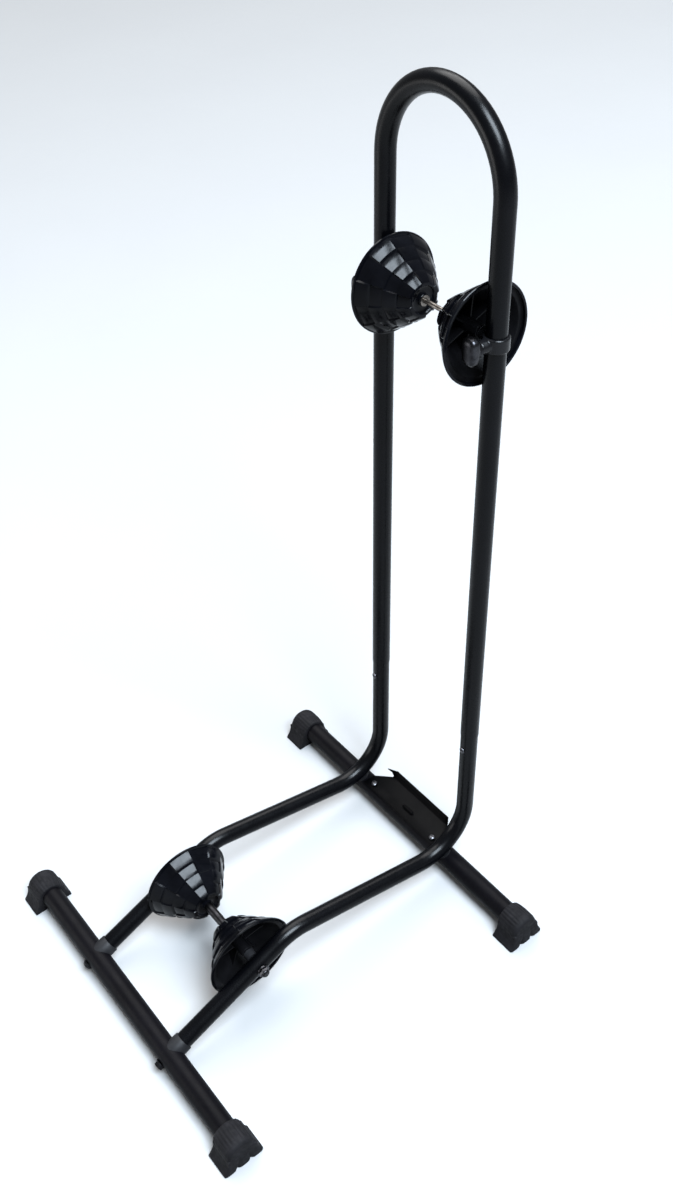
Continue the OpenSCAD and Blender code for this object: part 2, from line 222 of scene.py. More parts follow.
# ---- materials ----
class Nodes:
    """A short way to build a material's node tree."""

    def __init__(self, name):
        self.material = bpy.data.materials.new(name)
        self.material.use_nodes = True
        self.tree = self.material.node_tree
        self.shader = self.tree.nodes["Principled BSDF"]
        self.coords = self.tree.nodes.new("ShaderNodeTexCoord").outputs["Object"]

    def link(self, a, b):
        self.tree.links.new(a, b)

    def set(self, **values):
        for name, value in values.items():
            self.shader.inputs[name.replace("_", " ")].default_value = value

    def stretched(self, scale):
        node = self.tree.nodes.new("ShaderNodeMapping")
        node.inputs["Scale"].default_value = scale
        self.link(self.coords, node.inputs["Vector"])
        return node.outputs["Vector"]

    def noise(self, scale, detail=3.0, vector=None, roughness=0.5):
        node = self.tree.nodes.new("ShaderNodeTexNoise")
        node.inputs["Scale"].default_value = scale
        node.inputs["Detail"].default_value = detail
        node.inputs["Roughness"].default_value = roughness
        self.link(self.coords if vector is None else vector, node.inputs["Vector"])
        return node.outputs["Fac"]

    def cells(self, scale):
        node = self.tree.nodes.new("ShaderNodeTexVoronoi")
        node.inputs["Scale"].default_value = scale
        self.link(self.coords, node.inputs["Vector"])
        return node.outputs["Distance"]

    def ramp(self, source, stops):
        node = self.tree.nodes.new("ShaderNodeValToRGB")
        ramp = node.color_ramp
        while len(ramp.elements) < len(stops):
            ramp.elements.new(0.5)
        for element, (position, colour) in zip(ramp.elements, stops):
            element.position = position
            element.color = (*colour, 1) if len(colour) == 3 else colour
        self.link(source, node.inputs["Fac"])
        return node.outputs["Color"]

    def span(self, source, low, high, from_low=0.0, from_high=1.0):
        node = self.tree.nodes.new("ShaderNodeMapRange")
        node.inputs["From Min"].default_value = from_low
        node.inputs["From Max"].default_value = from_high
        node.inputs["To Min"].default_value = low
        node.inputs["To Max"].default_value = high
        self.link(source, node.inputs["Value"])
        return node.outputs["Result"]

    def mix(self, factor, a, b):
        node = self.tree.nodes.new("ShaderNodeMix")
        node.data_type = "RGBA"
        self.link(factor, node.inputs["Factor"])
        for socket, value in ((node.inputs["A"], a), (node.inputs["B"], b)):
            if hasattr(value, "links"):
                self.link(value, socket)
            else:
                socket.default_value = (*value, 1)
        return node.outputs["Result"]

    def add(self, a, b):
        node = self.tree.nodes.new("ShaderNodeMath")
        node.operation = "ADD"
        self.link(a, node.inputs[0])
        self.link(b, node.inputs[1])
        return node.outputs[0]

    def colour(self, socket):
        self.link(socket, self.shader.inputs["Base Color"])

    def rough(self, socket):
        self.link(socket, self.shader.inputs["Roughness"])

    def bump(self, *layers):
        """Each layer is (height socket, strength, distance in mm)."""
        normal = None
        for height, strength, distance in layers:
            node = self.tree.nodes.new("ShaderNodeBump")
            node.inputs["Strength"].default_value = strength
            node.inputs["Distance"].default_value = distance * MM
            self.link(height, node.inputs["Height"])
            if normal is not None:
                self.link(normal, node.inputs["Normal"])
            normal = node.outputs["Normal"]
        self.link(normal, self.shader.inputs["Normal"])


def powder_coat(name, dark, light, rough_low, rough_high, shine=0.2):
    m = Nodes(name)
    cloud = m.noise(22, 4)
    grain = m.noise(900, 2)
    base = m.mix(m.span(cloud, 0.1, 0.9, 0.3, 0.7), dark, light)
    specks = m.span(m.noise(2600, 2), 0, 1, 0.66, 0.76)
    m.colour(m.mix(specks, base, tuple(c * 2.6 for c in light)))
    m.rough(m.span(m.add(m.noise(60, 5), grain), rough_low, rough_high, 0.7, 1.3))
    m.bump((grain, 0.2, 0.10), (m.cells(700), 0.10, 0.06))
    m.set(IOR=1.5, Specular_IOR_Level=shine)
    return m.material


def moulded_gloss(name):
    m = Nodes(name)
    flow = m.noise(35, 3)
    cloud = m.span(flow, 0, 1, 0.35, 0.7)
    m.colour(m.mix(cloud, (0.0008, 0.0009, 0.0014), (0.0020, 0.0022, 0.0032)))
    haze = m.noise(130, 5)
    m.rough(m.span(haze, 0.10, 0.26, 0.35, 0.7))
    m.bump((m.noise(420, 3), 0.08, 0.08), (m.noise(45, 2), 0.25, 0.9))
    m.set(IOR=1.5, Specular_IOR_Level=0.09)
    return m.material


def moulded_satin(name, dark, light, rough, shine=0.1):
    m = Nodes(name)
    m.colour(m.mix(m.span(m.noise(60, 4), 0, 1, 0.3, 0.7), dark, light))
    m.rough(m.span(m.noise(200, 4), rough - 0.06, rough + 0.08, 0.3, 0.7))
    m.bump((m.cells(1500), 0.18, 0.06), (m.noise(500, 3), 0.12, 0.10))
    m.set(IOR=1.48, Specular_IOR_Level=shine)
    return m.material


def rubber(name):
    m = Nodes(name)
    dust = m.span(m.noise(90, 6), 0, 1, 0.45, 0.75)
    m.colour(m.mix(dust, (0.0028, 0.0026, 0.0033), (0.0066, 0.0062, 0.0075)))
    m.rough(m.span(m.noise(260, 4), 0.62, 0.86, 0.3, 0.7))
    m.bump((m.noise(1400, 3), 0.35, 0.10), (m.cells(600), 0.15, 0.10))
    m.set(IOR=1.45, Specular_IOR_Level=0.15)
    return m.material


def plated(name, dark, light, rough_low, rough_high, streak=(1, 1, 1)):
    m = Nodes(name)
    stretched = m.stretched(streak)
    lines = m.noise(700, 3, stretched)
    stain = m.noise(160, 5)
    m.colour(m.mix(m.span(stain, 0, 1, 0.35, 0.7), light, dark))
    m.rough(m.span(m.add(lines, stain), rough_low, rough_high, 0.7, 1.3))
    m.bump((lines, 0.15, 0.05))
    m.set(Metallic=1.0)
    return m.material


FRAME_PAINT = powder_coat("frame_paint", (0.0004, 0.0005, 0.0008), (0.0011, 0.0012, 0.0017),
                          0.22, 0.33, 0.11)
CROSS_PAINT = powder_coat("cross_paint", (0.0009, 0.0008, 0.0012), (0.0020, 0.0018, 0.0026),
                          0.40, 0.56, 0.05)
PLATE_PAINT = powder_coat("plate_paint", (0.0003, 0.0003, 0.0004), (0.0008, 0.0008, 0.0010),
                          0.34, 0.50, 0.03)
ROLLER_GLOSS = moulded_gloss("roller_plastic")
COLLAR_SATIN = moulded_satin("collar_plastic", (0.0022, 0.0022, 0.0026), (0.0045, 0.0045, 0.0052),
                             0.22, 0.18)
BLACK_PLASTIC = moulded_satin("black_plastic", (0.006, 0.006, 0.007), (0.013, 0.013, 0.014), 0.45)
ROLLER_CORE = moulded_satin("roller_core", (0.0012, 0.0012, 0.0015), (0.003, 0.003, 0.0035),
                            0.42, 0.06)
FOOT_RUBBER = rubber("foot_rubber")
ZINC = plated("bright_steel", (0.50, 0.50, 0.53), (0.78, 0.79, 0.82), 0.20, 0.36)
BARE = plated("bare_steel", (0.07, 0.06, 0.052), (0.22, 0.20, 0.18), 0.28, 0.46, (1, 14, 14))
SCREW_ZINC = plated("screw_zinc", (0.05, 0.05, 0.055), (0.14, 0.14, 0.15), 0.24, 0.40)
DARK_ZINC = plated("dark_zinc", (0.025, 0.025, 0.028), (0.08, 0.08, 0.088), 0.20, 0.36)
BLACK_STEEL = plated("black_steel", (0.008, 0.008, 0.009), (0.025, 0.025, 0.027), 0.30, 0.45)
KNOB_METAL = plated("knob_metal", (0.014, 0.014, 0.016), (0.038, 0.038, 0.042), 0.24, 0.38)
SLOT_MATERIALS = {
    "bright_steel": ZINC, "bare_steel": BARE, "black_steel": BLACK_STEEL, "knob_metal": KNOB_METAL,
    "frame_paint": FRAME_PAINT, "cross_paint": CROSS_PAINT, "roller_plastic": ROLLER_GLOSS,
    "collar_plastic": COLLAR_SATIN, "black_plastic": BLACK_PLASTIC, "foot_rubber": FOOT_RUBBER,
}


# ---- rollers ----
SECTORS = 12
TERRACES = 4
LIP = 3.0
RAISED, RECESSED, CROWN = 1.0, -0.9, 0.75
FLATNESS = 0.55
PAD_STEPS = (0.03, 0.10, 0.26, 0.42, 0.58, 0.74, 0.90, 0.97)
TERRACE_LEN = (RIM_X - TIP_X - LIP) / TERRACES
WALL = 2.4
CORE_START, CORE_END = 3.3, 2.9
WEBS = 6
WEB_HALF, WEB_FLANK = 0.8, 1.35
WEB_DEPTH = 23.0
BOSS_R = 6.2


def cone_radius(x):
    return TIP_R + (RIM_R - TIP_R) * x / (RIM_X - TIP_X)


def pad_height(x, sector, across):
    """Height of the moulded pads, which alternate along and round the cone; across runs 0..1."""
    step = x / TERRACE_LEN
    k = min(TERRACES - 1, max(0, floor(step)))
    along = min(1, max(0, step - k))
    level = RAISED if (k + sector) % 2 == 0 else RECESSED
    crown = CROWN * (1 - (2 * along - 1) ** 2)
    half = pi / SECTORS
    radius = cone_radius(x)
    flat = radius * (cos(half) / cos((2 * across - 1) * half) - 1)
    facet = flat + radius * (1 - cos(half)) / 2
    return level + crown + FLATNESS * facet


def outer_angles():
    """Columns for the padded side: (angle, sector, 0..1 across it)."""
    width = TAU / SECTORS
    return [(width * (s + t), s, t) for s in range(SECTORS) for t in PAD_STEPS]


def inner_angles(r):
    """Columns for the hollow side: (angle, on a web) with steep flanks at every web."""
    half = asin(min(0.9, WEB_HALF / max(r, BOSS_R + 1)))
    width = TAU / WEBS
    per_web = len(PAD_STEPS) * SECTORS // WEBS
    columns = []
    for w in range(WEBS):
        start, flank = width * w, WEB_FLANK * half
        columns += [(start - flank, False), (start - half, True), (start, True),
                    (start + half, True), (start + flank, False)]
        free = width - 2 * flank
        count = per_web - 5
        columns += [(start + flank + free * (k + 1) / (count + 1), False) for k in range(count)]
    return columns


def roller_mesh(name, axle_r):
    """A hollow moulded cone: pads outside, webs and hub inside. Local +Z runs from tip to rim."""
    length = RIM_X - TIP_X
    rows = []

    def turned(r, z):
        rows.append([(r * cos(a), r * sin(a), z) for a, _, _ in outer_angles()])

    def padded(x, offset=0.0, z=None):
        row = []
        for a, s, t in outer_angles():
            r = cone_radius(x) + pad_height(x, s, t) + offset
            row.append((r * cos(a), r * sin(a), x if z is None else z))
        rows.append(row)

    # the tip's end face, from the bore outwards
    bore = axle_r + 0.1
    for r, z in ((bore, 0.3), (bore + 0.3, 0.0), (BOSS_R - 0.5, 0.0), (BOSS_R, 0.5),
                 (BOSS_R + 0.2, 2.4), (BOSS_R + 1.2, 3.0), (TIP_R - 5.5, 3.0), (TIP_R - 4.2, 2.2),
                 (TIP_R - 3.4, 0.5), (TIP_R - 2.9, 0.1)):
        turned(r, z)
    padded(0.0, -1.0, 0.0)
    padded(0.0, -0.3, 0.25)
    for k in range(TERRACES):
        for t in PAD_STEPS:
            padded((k + t) * TERRACE_LEN if k + t > 0.05 else 0.9)
    # the groove behind the pads and the rolled lip of the rim
    groove_r, lip_z = cone_radius(length - LIP) - 1.6, length - LIP
    for r, z in ((groove_r, lip_z - 0.1), (groove_r, lip_z + 0.3), (RIM_R - 0.9, lip_z + 0.5),
                 (RIM_R - 0.25, lip_z + 0.9), (RIM_R, length - 1.5), (RIM_R, length - 0.6),
                 (RIM_R - 0.5, length), (RIM_R - 2.3, length), (RIM_R - 2.8, length - 0.5)):
        turned(r, z)

    slope = length / (RIM_R - TIP_R)

    def hollow(r, z=None):
        floor_z = max(4.5, (r - TIP_R + WALL * 1.5) * slope)
        web_z = max(floor_z, length - WEB_DEPTH)
        rows.append([(r * cos(a), r * sin(a), (web_z if web else floor_z) if z is None else z)
                     for a, web in inner_angles(r)])

    for drop, r in ((3.2, RIM_R - 3.0), (3.8, RIM_R - 3.6), (4.0, RIM_R - 8.0), (4.6, RIM_R - 8.6)):
        hollow(r, length - drop)
    for r in (41, 37, 32, 27, 22, 17, 12, BOSS_R + 1.6):
        hollow(r)
    hub_top = length - 7.0
    for r, z in ((BOSS_R + 1.0, hub_top - 0.6), (BOSS_R + 0.4, hub_top), (bore + 0.5, hub_top),
                 (bore, hub_top - 0.5), (bore, 0.3)):
        rows.append([(r * cos(a), r * sin(a), z) for a, _ in inner_angles(BOSS_R)])
    return grid_mesh(name, rows, close_start=False, close_end=False)


# node: (axle, its radius, side, turn in degrees as the photo shows it)
ROLLERS = {
    "lower_roller_left": (LOWER_AXLE, LOWER_AXLE_R, -1, 78),
    "lower_roller_right": (LOWER_AXLE, LOWER_AXLE_R, 1, 65),
    "upper_roller_left": (UPPER_AXLE, UPPER_AXLE_R, -1, 95),
    "upper_roller_right": (UPPER_AXLE, UPPER_AXLE_R, 1, 80),
}


def make_rollers():
    """The four rollers, glossy outside, with the duller core finish on the faces of the hollow."""
    length = RIM_X - TIP_X
    for node, (axle, axle_r, side, phase) in ROLLERS.items():
        mesh = roller_mesh(node, axle_r)
        piece = add_object(node + "_moulding", mesh, ROLLER_GLOSS, sharp_angle=32)
        piece.data.materials.append(ROLLER_CORE)
        for face in piece.data.polygons:
            centre = face.center / MM
            radius = hypot(centre.x, centre.y)
            depth = (radius - TIP_R + WALL * 1.1) * length / (RIM_R - TIP_R)
            if CORE_START < centre.z < length - CORE_END and centre.z > depth:
                face.material_index = 1
        matrix = placed((side * TIP_X, axle.y, axle.z), (side, 0, 0), (0, 1, 0))
        put(piece, matrix @ Matrix.Rotation(radians(phase) * side, 4, "Z"))
        finish_piece(piece, node, "roller_plastic", node)


# ---- fasteners ----
def prism(name, sides, r, z0, z1):
    rows = [[(r * cos(TAU * k / sides), r * sin(TAU * k / sides), z) for k in range(sides)]
            for z in (z0, z1)]
    return grid_mesh(name, rows)


def scratch(mesh):
    """A working object for modifiers; take_mesh() gets its mesh back."""
    return add_object(mesh.name, mesh, None, smooth=False)


def hex_head(name, r, h):
    """Hexagonal head with a turned chamfer; its seat is at z = 0 and it rises along +Z."""
    body = scratch(prism(name, 6, r, 0, h))
    profile = [(0, 0), (r - 0.4, 0), (r * 1.05, 0.5), (r * 1.05, h - 0.9), (r * 0.84, h), (0, h)]
    turned = scratch(lathe(name + "_turned", profile))
    boolean(body, [turned], "INTERSECT")
    return take_mesh(body)


def take_mesh(piece):
    mesh = piece.data
    bpy.data.objects.remove(piece)
    return mesh


def cross_recess(name, mesh, top, width, reach, depth):
    """Cuts a Phillips recess into the top of a head."""
    head = scratch(mesh)
    cutters = []
    for across, along in ((width, reach), (reach, width)):
        rows = [[(sx * across * k, sy * along * k, z)
                 for sx, sy in ((-1, -1), (1, -1), (1, 1), (-1, 1))]
                for z, k in ((top - depth, 0.45), (top + 0.5, 1.0))]
        cutters.append(scratch(grid_mesh(name + "_cut", rows)))
    boolean(head, cutters, "DIFFERENCE")
    return take_mesh(head)


def pan_head(name, r, h):
    """Round head with a cross recess; its seat is at z = 0."""
    profile = [(0, 0), (r - 0.2, 0), (r, 0.3)]
    profile += [(r * cos(a), 0.3 + (h - 0.3) * sin(a) ** 0.8) for a in (0.35, 0.7, 1.05, 1.35)]
    profile.append((0, h))
    return cross_recess(name, lathe(name, profile, 48), h, 0.22 * r, 0.62 * r, 0.55 * h)


def dome_head(name, r, h):
    """Round cap head with a small skirt."""
    cap_r, skirt = r * 0.93, 1.2
    profile = [(0, 0), (r, 0), (r, 0.9), (cap_r, skirt)]
    profile += [(cap_r * cos(a), skirt + (h - skirt) * sin(a)) for a in (0.3, 0.6, 0.9, 1.2, 1.4)]
    profile.append((0, h))
    return lathe(name, profile, 48)


def shank(name, r, length):
    """Screw shank below its head, with a crest for every turn of the thread."""
    pitch, depth = 1.0, 0.28
    profile = [(0, 0.2), (r, 0.2)]
    for k in range(int(length / pitch)):
        profile += [(r, -k * pitch - 0.3), (r - depth, -k * pitch - 0.5), (r, -k * pitch - 0.7)]
    profile += [(r, -length + 0.6), (r - 0.6, -length), (0, -length)]
    return lathe(name, profile, 32)


def placed_mesh(mesh, matrix):
    mesh.transform(matrix)
    return mesh


def sided(point, side):
    """The point moved sideways to the left (-1) or right (+1) leg."""
    return Vector((side * LEG_X, point.y, point.z))


def add_frame_set(name, meshes, material, slot, node):
    """One piece of the frame, joined from placed meshes, in place of a CAD node."""
    piece = add_object(name, join_meshes(name, meshes), material, sharp_angle=35)
    finish_piece(piece, "frame", slot, node)


JOINT_HEAD_ALLOWANCE = 2.2
PLATE_SCREW_X, PLATE_SCREW_Y = 57, -2.0


def make_joint_screws():
    low, high = box_mm("joint_screws")
    # the heads sit on the leg's front skin: half the CAD screws' box ahead of its middle, less an
    # allowance for the CAD head and for what its width adds to the box of a leaning screw
    ahead = (high.y - low.y) / 2 / cos(LEAN) - JOINT_HEAD_ALLOWANCE
    seat = box_centre("joint_screws") + MAST_FORWARD * ahead
    meshes = []
    for side in (-1, 1):
        spot = placed(sided(seat, side), MAST_FORWARD)
        meshes.append(placed_mesh(pan_head("joint_head", 3.8, 1.7), spot))
        meshes.append(placed_mesh(shank("joint_shank", 2.45, 9.0), spot))
    add_frame_set("joint_screw_heads", meshes, DARK_ZINC, "bright_steel", "joint_screws")


def make_plate_screws():
    meshes = []
    top = REAR.z + CROSS_R + PLATE_T
    for side, recess in ((-1, (0.8, 0.6, 0)), (1, (0.5, -0.86, 0))):
        spot = placed((side * PLATE_SCREW_X, REAR.y + PLATE_SCREW_Y, top), (0, 0, 1), recess)
        meshes.append(placed_mesh(pan_head("plate_head", 3.7, 2.1), spot))
        meshes.append(placed_mesh(shank("plate_shank", 2.45, 8.5), spot))
    add_frame_set("plate_screw_heads", meshes, SCREW_ZINC, "bright_steel", "plate_screws")


def make_front_bolts():
    """Bolts through the front cross tube from below: round head at the left, hexagon at the right."""
    meshes = []
    for side, head in ((-1, dome_head("front_dome", 5.8, 4.2)),
                       (1, hex_head("front_hex", 5.9, 4.0))):
        spot = placed(sided(FRONT, side) - NOSE_UP * (CROSS_R + WASHER_T), -NOSE_UP)
        meshes.append(placed_mesh(head, spot))
        meshes.append(placed_mesh(shank("front_shank", 2.95, 2 * CROSS_R + 14), spot))
    add_frame_set("front_bolt_heads", meshes, BLACK_STEEL, "black_steel", "front_bolts")


def make_rear_bolts():
    meshes = []
    for side in (-1, 1):
        spot = placed(sided(REAR, side) - SEAT_UP * CROSS_R, -SEAT_UP)
        meshes.append(placed_mesh(dome_head("rear_dome", 5.6, 3.2), spot))
        meshes.append(placed_mesh(shank("rear_shank", 2.95, 2 * CROSS_R + 9), spot))
    add_frame_set("rear_bolt_heads", meshes, BLACK_STEEL, "black_steel", "rear_bolts")


def make_lower_axle():
    """Axle rod with a low hexagonal head at the left and a lock nut at the right."""
    face = LEG_X + TUBE_R + LOWER_WASHER_T
    left = placed((-face, LOWER_AXLE.y, LOWER_AXLE.z), (-1, 0, 0), (0, 0.9, 0.4))
    right = placed((face, LOWER_AXLE.y, LOWER_AXLE.z), (1, 0, 0), (0, 0.7, 0.7))
    grip, end_r = 2 * face, LOWER_AXLE_R - 0.8
    rod = lathe("axle_rod", [(0, 0), (LOWER_AXLE_R, 0.0), (LOWER_AXLE_R, -grip + 0.5),
                             (LOWER_AXLE_R, -grip - 5.4), (end_r, -grip - 6.0),
                             (0, -grip - 6.0)], 48)
    meshes = [placed_mesh(hex_head("axle_head", 6.6, 4.2), left), placed_mesh(rod, left)]
    add_frame_set("lower_axle_rod", meshes, BLACK_STEEL, "black_steel", "lower_axle_bolt")
    nut = scratch(hex_head("axle_nut", 6.2, 3.6))
    collar = lathe("nut_collar", [(0, 2.8), (4.9, 2.8), (4.9, 4.3), (4.5, 4.8), (0, 4.8)], 48)
    boolean(nut, [scratch(collar)], "UNION")
    bore = scratch(prism("nut_bore", 48, LOWER_AXLE_R, -1, 9))
    boolean(nut, [bore], "DIFFERENCE")
    nut.name = "lower_axle_lock_nut"
    nut.data.materials.clear()
    nut.data.materials.append(DARK_ZINC)
    nut.data.shade_smooth()
    nut.data.set_sharp_from_angle(angle=radians(35))
    put(nut, right)
    finish_piece(nut, "frame", "black_steel", "lower_axle_nut")


# ---- tyre stop plate ----
PLATE_FRONT, PLATE_BACK, PLATE_HALF = -9.0, 25.0, 70.0
FOLD_HALF = 50.8
LIP_H, LIP_LEAN = 8.0, 4.4
EAR, GUSSET = 9.0, 5.0
PLATE_COLUMNS = 29
BEAD_X, BEAD_RUN, BEAD_Y, BEAD_STEPS = -6, 20, 3.5, 24
BEAD_SECTION = ((0, 1.5), (0.9, 1.25), (1.7, 0.5), (2.4, 0))


def make_plate():
    """Folded sheet: a flat with cut corners, and a rear lip that leans back.

    The lip ends in a pointed ear at the left and in a gusset that fades upward at the right.
    A short raised bead lies on the flat, along the cross tube.
    """
    bm = bmesh.new()
    xs = [-FOLD_HALF + 2 * FOLD_HALF * k / (PLATE_COLUMNS - 1) for k in range(PLATE_COLUMNS)]
    side_cut = PLATE_BACK - (PLATE_HALF - FOLD_HALF)

    def sheet(points):
        return [bm.verts.new(p) for p in points]

    def at_left(x):
        return x < 0.1 - FOLD_HALF

    def ends(x, left, right):
        """Moves the end columns outwards and leaves the others."""
        return x - left if at_left(x) else x + right if x > FOLD_HALF - 0.1 else x

    flat_front = sheet([(x * PLATE_HALF / FOLD_HALF, PLATE_FRONT, 0) for x in xs])
    flat_mid = sheet([(x * PLATE_HALF / FOLD_HALF, side_cut, 0) for x in xs])
    flat_back = sheet([(ends(x, 0, GUSSET), PLATE_BACK - 1.6, 0) for x in xs])
    fold = [sheet([(ends(x, 0, GUSSET * 0.9), PLATE_BACK - 0.7, 0.15) for x in xs]),
            sheet([(ends(x, 0, GUSSET * 0.8), PLATE_BACK - 0.1, 0.8) for x in xs])]
    mid_y, top_y = PLATE_BACK + LIP_LEAN * 0.5, PLATE_BACK + LIP_LEAN
    lip_mid = sheet([(ends(x, EAR * 0.45, GUSSET * 0.4),
                      mid_y - (EAR * 0.2 if at_left(x) else 0), LIP_H * 0.5) for x in xs])
    lip_top = sheet([(ends(x, EAR, 0),
                      top_y - (EAR * 0.75 if at_left(x) else 0), LIP_H) for x in xs])
    rows = [flat_front, flat_mid, flat_back, *fold, lip_mid, lip_top]
    for low, high in zip(rows, rows[1:]):
        for k in range(PLATE_COLUMNS - 1):
            bm.faces.new((low[k], low[k + 1], high[k + 1], high[k]))
    mesh = clean_mesh(bm, "tyre_stop_sheet")
    piece = add_object("tyre_stop_sheet", mesh, PLATE_PAINT, sharp_angle=30)
    thick = piece.modifiers.new("sheet", "SOLIDIFY")
    thick.thickness = PLATE_T * MM
    thick.offset = 1.0
    edge_bevel(piece, 0.3, 2)
    graph = bpy.context.evaluated_depsgraph_get()
    solid = bpy.data.meshes.new_from_object(piece.evaluated_get(graph))
    piece.modifiers.clear()
    piece.data = solid
    rows = []
    for k in range(BEAD_STEPS + 1):
        t = k / BEAD_STEPS
        fade = sqrt(max(0.0, 1 - (2 * t - 1) ** 6))
        x = BEAD_X + BEAD_RUN * t
        section = [(x, BEAD_Y - r * fade, PLATE_T + z * fade) for r, z in reversed(BEAD_SECTION)]
        section += [(x, BEAD_Y + r * fade, PLATE_T + z * fade) for r, z in BEAD_SECTION[1:]]
        rows.append(section + [(x, BEAD_Y, PLATE_T - 0.4)])
    ridge = grid_mesh("bead", rows)
    ridge.materials.append(PLATE_PAINT)
    joined = join_meshes("tyre_stop_sheet", [piece.data, ridge])
    piece.data = joined
    joined.materials.append(PLATE_PAINT)
    joined.shade_smooth()
    joined.set_sharp_from_angle(angle=radians(30))
    put(piece, Matrix.Translation(Vector((0, REAR.y, REAR.z + CROSS_R)) * MM))
    finish_piece(piece, "frame", "frame_paint", "tyre_stop_plate")


# ---- saddles between the noses and the front cross tube ----
def make_front_saddles():
    cups = []
    for side in (-1, 1):
        top, seat = CROSS_R + 8.5, CROSS_R + SADDLE_T
        profile = [(4.0, 4), (TUBE_R + 1.7, 4), (TUBE_R + 1.5, top - 1.0), (TUBE_R + 0.9, top),
                   (TUBE_R + 0.03, top), (TUBE_R + 0.03, seat), (4.0, seat)]
        cup = scratch(lathe("saddle", profile, 72))
        tube = scratch(prism("tube_cut", 96, CROSS_R + 0.02, -40, 40))
        put(tube, ALONG_X)
        boolean(cup, [tube], "DIFFERENCE")
        cups.append(placed_mesh(take_mesh(cup), placed(sided(FRONT, side), NOSE_UP)))
    add_frame_set("nose_saddles", cups, BLACK_PLASTIC, "black_plastic", "front_saddles")


# ---- feet ----
FOOT_TOP_HALF, FOOT_TOP_H = 17.6, 20.6
FOOT_LIP_H = 1.6
FOOT_LENGTH = 32.5
FOOT_TRIM = 1.0
FOOT_LOBE = 4.2
RIB_COUNT, RIB_H, RIB_END_X = 26, 0.25, 219


def foot_outline(h):
    """Horizontal section of a foot's skirt at height h: lobed outer end, straight inner end."""
    rise = min(1, max(0, (h - FOOT_LIP_H) / (FOOT_TOP_H - FOOT_LIP_H)))
    flare = (1 - rise) ** 2.2
    near = FOOT_TOP_HALF + (FOOT_NEAR + FOOT_TRIM - FOOT_TOP_HALF) * flare
    far = FOOT_TOP_HALF + (FOOT_FAR + FOOT_TRIM - FOOT_TOP_HALF) * flare
    half, middle = (near + far) / 2, (far - near) / 2
    inner, outer = FOOT_END_X - FOOT_LENGTH, FOOT_END_X + 0.9 - 2.5 * rise
    notch = FOOT_LOBE * (1 - rise) ** 1.5
    third = half / 3
    points = []
    for k in range(49):
        y = half - 2 * half * k / 48
        lobe = max(-2, min(2, 2 * round(y / (2 * third))))
        u = min(1, abs(y - lobe * third) / third)
        points.append((outer - notch * (1 - sqrt(max(0, 1 - u * u))), middle + y))
    points.reverse()
    run = outer - 8 - inner
    points += [(inner + run * t, middle + half) for t in (0.75, 0.5, 0.25, 0.05)]
    points += [(inner, middle + half * t) for t in (0.95, 0.5, 0, -0.5, -0.95)]
    points += [(inner + run * t, middle - half) for t in (0.05, 0.25, 0.5, 0.75)]
    return points


def foot_mesh(axis_h):
    """One rubber foot for the +X end, with the cross tube's axis along X through z = 0."""
    skirt = grid_mesh("skirt", [[(x, y, h - axis_h) for x, y in foot_outline(h)]
                                for h in (0, FOOT_LIP_H, 3, 4.5, 6, 8, 10.5, 13.5, 17, FOOT_TOP_H)])
    barrel = lathe("barrel", [(0, 191.5), (15.6, 191.5), (16.2, 192.5), (17.2, 197), (17.9, 204),
                              (17.9, 217), (17.0, 220.5), (14.5, 222.8), (0, 223.4)], 64)
    barrel.transform(ALONG_X)
    piece = scratch(join_meshes("foot", [skirt, barrel]))
    soften(piece, 0.8, 2)
    # fine ribs round the top, then every point is held inside the foot's own box
    for v in piece.data.vertices:
        x, y, z = v.co / MM
        if z > 2 and x < RIB_END_X:
            angle = atan2(y, z)
            fade = min(1, (z - 2) / 6) * min(1, (RIB_END_X - x) / 5)
            outward = Vector((0, sin(angle), cos(angle)))
            x, y, z = Vector((x, y, z)) + outward * (RIB_H * fade * cos(angle * RIB_COUNT))
        x, y, z = min(x, FOOT_END_X), min(max(y, -FOOT_NEAR), FOOT_FAR), max(z, -axis_h)
        v.co = Vector((x, y, z)) * MM
    bore = scratch(prism("foot_bore", 96, CROSS_R + 0.02, 170, 219.2))
    put(bore, ALONG_X)
    boolean(piece, [bore], "DIFFERENCE")
    return take_mesh(piece)


def make_feet():
    mesh = foot_mesh(REAR.z)
    for node, side, axis in (("foot_front_left", -1, FRONT), ("foot_front_right", 1, FRONT),
                             ("foot_rear_left", -1, REAR), ("foot_rear_right", 1, REAR)):
        piece = add_object(node + "_rubber", mesh.copy(), FOOT_RUBBER, sharp_angle=50)
        onto_tube = Matrix.Translation(Vector((0, axis.y, axis.z)) * MM)
        put(piece, onto_tube @ Matrix.Diagonal((side, 1, 1, 1)))
        finish_piece(piece, "frame", "foot_rubber", node)


# ---- sliding collars and their clamps ----
SCREW_BORE_R = 3.06
WING_HALF, WING_HEIGHT = 14.0, 8.6
WING_RINGS, WING_POINTS = 28, 40


